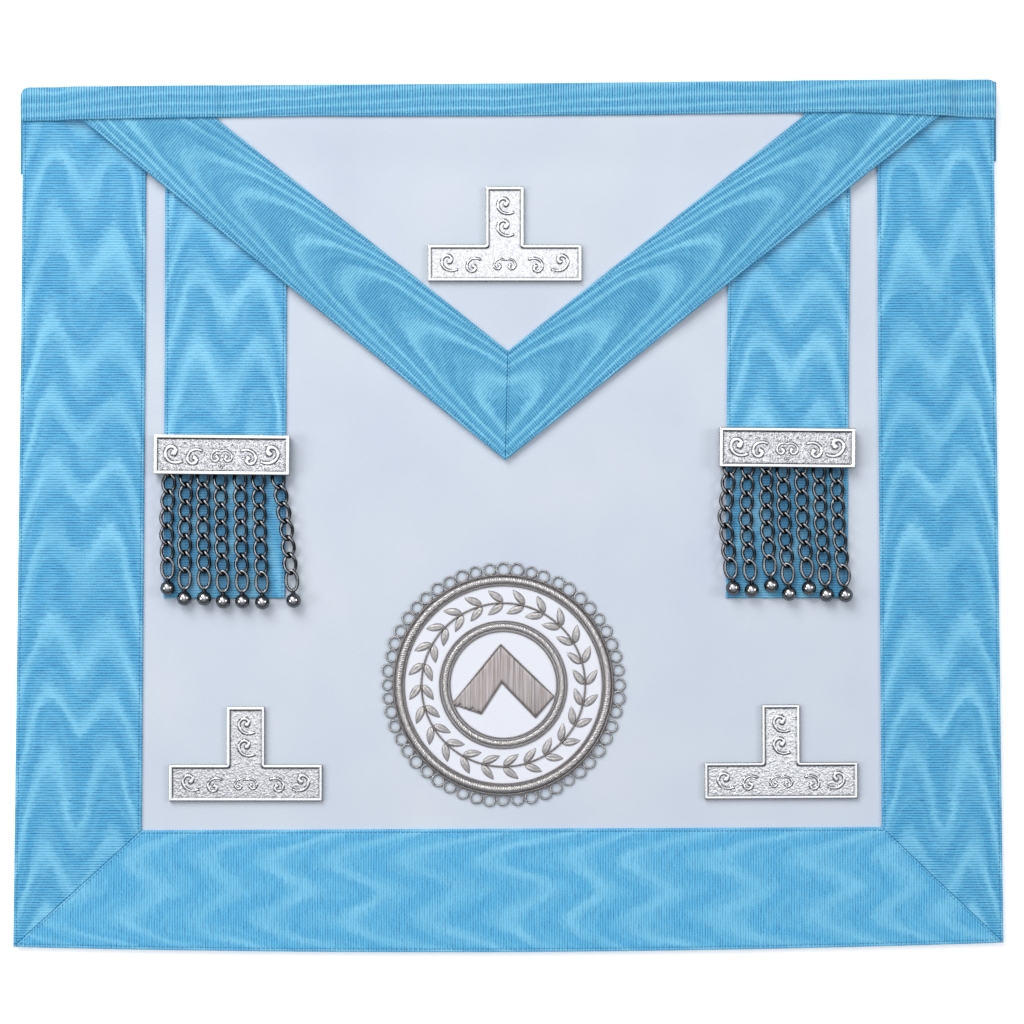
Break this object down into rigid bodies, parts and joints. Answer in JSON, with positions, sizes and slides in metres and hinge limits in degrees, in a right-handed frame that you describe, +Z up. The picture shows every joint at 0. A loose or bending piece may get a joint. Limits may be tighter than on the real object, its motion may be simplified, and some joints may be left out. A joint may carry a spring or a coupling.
{
  "type": "masonic apron",
  "caption": "Ceremonial leather apron lying flat: ribbon border, pointed flap, chain tassels on ribbons, cast metal levels and an embroidered round badge.",
  "frame": {"origin": "on the floor under the middle of the apron, which lies on its back", "axes": "+X across the apron to the right as seen from the front, +Y up the apron to its waist, +Z up, out of the front"},
  "size_m": [0.4082, 0.3594, 0.0102],
  "materials": {
    "leather_white": "smooth white lambskin, fine grain",
    "ribbon_blue": "ribbed ribbon with a watered sheen",
    "belt_webbing": "matt woven webbing",
    "silver_plate": "bright cast silver plate, stippled ground",
    "chain_steel": "dark polished steel",
    "clasp_metal": "plain pressed metal",
    "badge_ground": "white felted ground",
    "embroidery_silver": "silver bullion thread"
  },
  "bodies": {
    "root": {"apron_body": "leather_white", "badge_disc": "badge_ground", "badge_inner_ring": "embroidery_silver", "badge_loop_edge": "embroidery_silver", "badge_outer_ring": "embroidery_silver", "badge_square": "embroidery_silver", "ball_left_1": "chain_steel", "ball_left_2": "chain_steel", "ball_left_3": "chain_steel", "ball_left_4": "chain_steel", "ball_left_5": "chain_steel", "ball_left_6": "chain_steel", "ball_left_7": "chain_steel", "ball_right_1": "chain_steel", "ball_right_2": "chain_steel", "ball_right_3": "chain_steel", "ball_right_4": "chain_steel", "ball_right_5": "chain_steel", "ball_right_6": "chain_steel", "ball_right_7": "chain_steel", "belt_clasp": "clasp_metal", "belt_strap_left": "belt_webbing", "belt_strap_right": "belt_webbing", "border_ribbon_hem": "ribbon_blue", "border_ribbon_left": "ribbon_blue", "border_ribbon_right": "ribbon_blue", "chain_left_1": "chain_steel", "chain_left_2": "chain_steel", "chain_left_3": "chain_steel", "chain_left_4": "chain_steel", "chain_left_5": "chain_steel", "chain_left_6": "chain_steel", "chain_left_7": "chain_steel", "chain_right_1": "chain_steel", "chain_right_2": "chain_steel", "chain_right_3": "chain_steel", "chain_right_4": "chain_steel", "chain_right_5": "chain_steel", "chain_right_6": "chain_steel", "chain_right_7": "chain_steel", "flap": "leather_white", "flap_ribbon_left": "ribbon_blue", "flap_ribbon_right": "ribbon_blue", "level_left": "silver_plate", "level_right": "silver_plate", "level_top": "silver_plate", "tassel_bar_left": "silver_plate", "tassel_bar_right": "silver_plate", "tassel_ribbon_left": "ribbon_blue", "tassel_ribbon_right": "ribbon_blue", "top_band": "ribbon_blue"}
  },
  "joints": []
}
